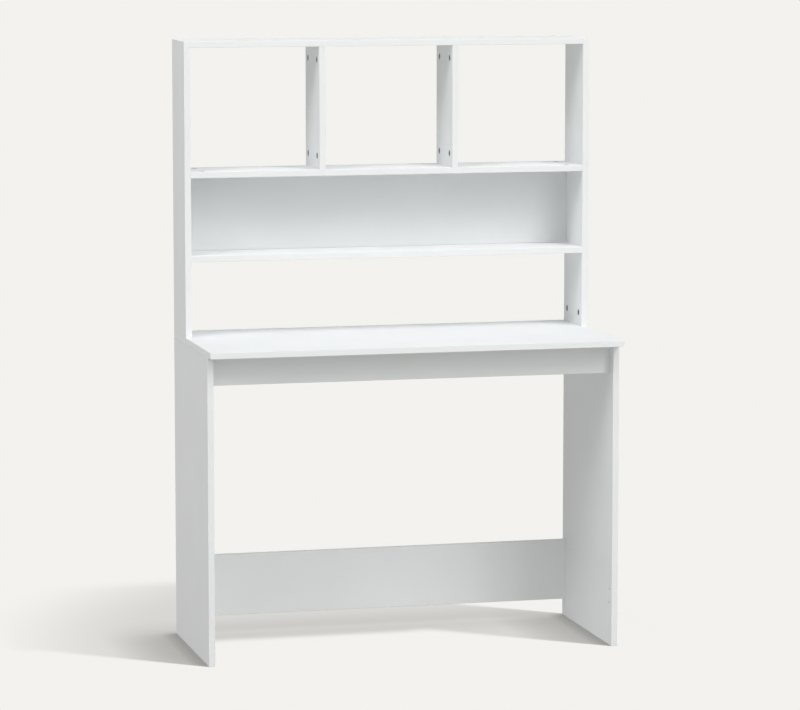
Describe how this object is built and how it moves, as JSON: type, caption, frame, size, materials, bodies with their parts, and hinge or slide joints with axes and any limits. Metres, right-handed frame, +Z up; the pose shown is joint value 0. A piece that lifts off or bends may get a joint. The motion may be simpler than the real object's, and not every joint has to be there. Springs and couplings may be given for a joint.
{
  "type": "student desk with hutch",
  "caption": "Free-standing student desk with a full-width hutch: open bays above a backed shelf, an open gap over the worktop, clear knee space and a low rear stretcher.",
  "frame": {"origin": "on the floor, midway between the legs and midway between the desktop's front edge and the back", "axes": "+X to the right of someone sitting at the desk, -Y out of its front, +Z up"},
  "size_m": [1, 0.45, 1.45],
  "materials": {
    "white_melamine": "satin white melamine on particleboard",
    "zinc_cam": "satin die-cast zinc",
    "steel_bolt": "satin zinc-plated steel",
    "beech_dowel": "matte beech"
  },
  "bodies": {
    "root": {"apron_cam_bolts": "steel_bolt", "apron_cam_locks": "zinc_cam", "apron_dowels": "beech_dowel", "back_panel_cam_bolts": "steel_bolt", "back_panel_cam_locks": "zinc_cam", "desktop": "white_melamine", "front_apron": "white_melamine", "hutch_back_panel": "white_melamine", "hutch_left_cam_bolts": "steel_bolt", "hutch_left_cam_locks": "zinc_cam", "hutch_left_dowels": "beech_dowel", "hutch_left_side": "white_melamine", "hutch_right_cam_bolts": "steel_bolt", "hutch_right_cam_locks": "zinc_cam", "hutch_right_dowels": "beech_dowel", "hutch_right_side": "white_melamine", "hutch_top": "white_melamine", "hutch_top_cam_bolts": "steel_bolt", "hutch_top_cam_locks": "zinc_cam", "hutch_top_dowels": "beech_dowel", "left_divider": "white_melamine", "left_divider_cam_bolts": "steel_bolt", "left_divider_cam_locks": "zinc_cam", "left_divider_dowels": "beech_dowel", "left_leg_cam_bolts": "steel_bolt", "left_leg_cam_locks": "zinc_cam", "left_leg_dowels": "beech_dowel", "left_leg_panel": "white_melamine", "lower_shelf": "white_melamine", "lower_shelf_cam_bolts": "steel_bolt", "lower_shelf_cam_locks": "zinc_cam", "lower_shelf_dowels": "beech_dowel", "rear_stretcher": "white_melamine", "right_divider": "white_melamine", "right_divider_cam_bolts": "steel_bolt", "right_divider_cam_locks": "zinc_cam", "right_divider_dowels": "beech_dowel", "right_leg_cam_bolts": "steel_bolt", "right_leg_cam_locks": "zinc_cam", "right_leg_dowels": "beech_dowel", "right_leg_panel": "white_melamine", "stretcher_cam_bolts": "steel_bolt", "stretcher_cam_locks": "zinc_cam", "upper_shelf": "white_melamine", "upper_shelf_cam_bolts": "steel_bolt", "upper_shelf_cam_locks": "zinc_cam", "upper_shelf_dowels": "beech_dowel"}
  },
  "joints": []
}
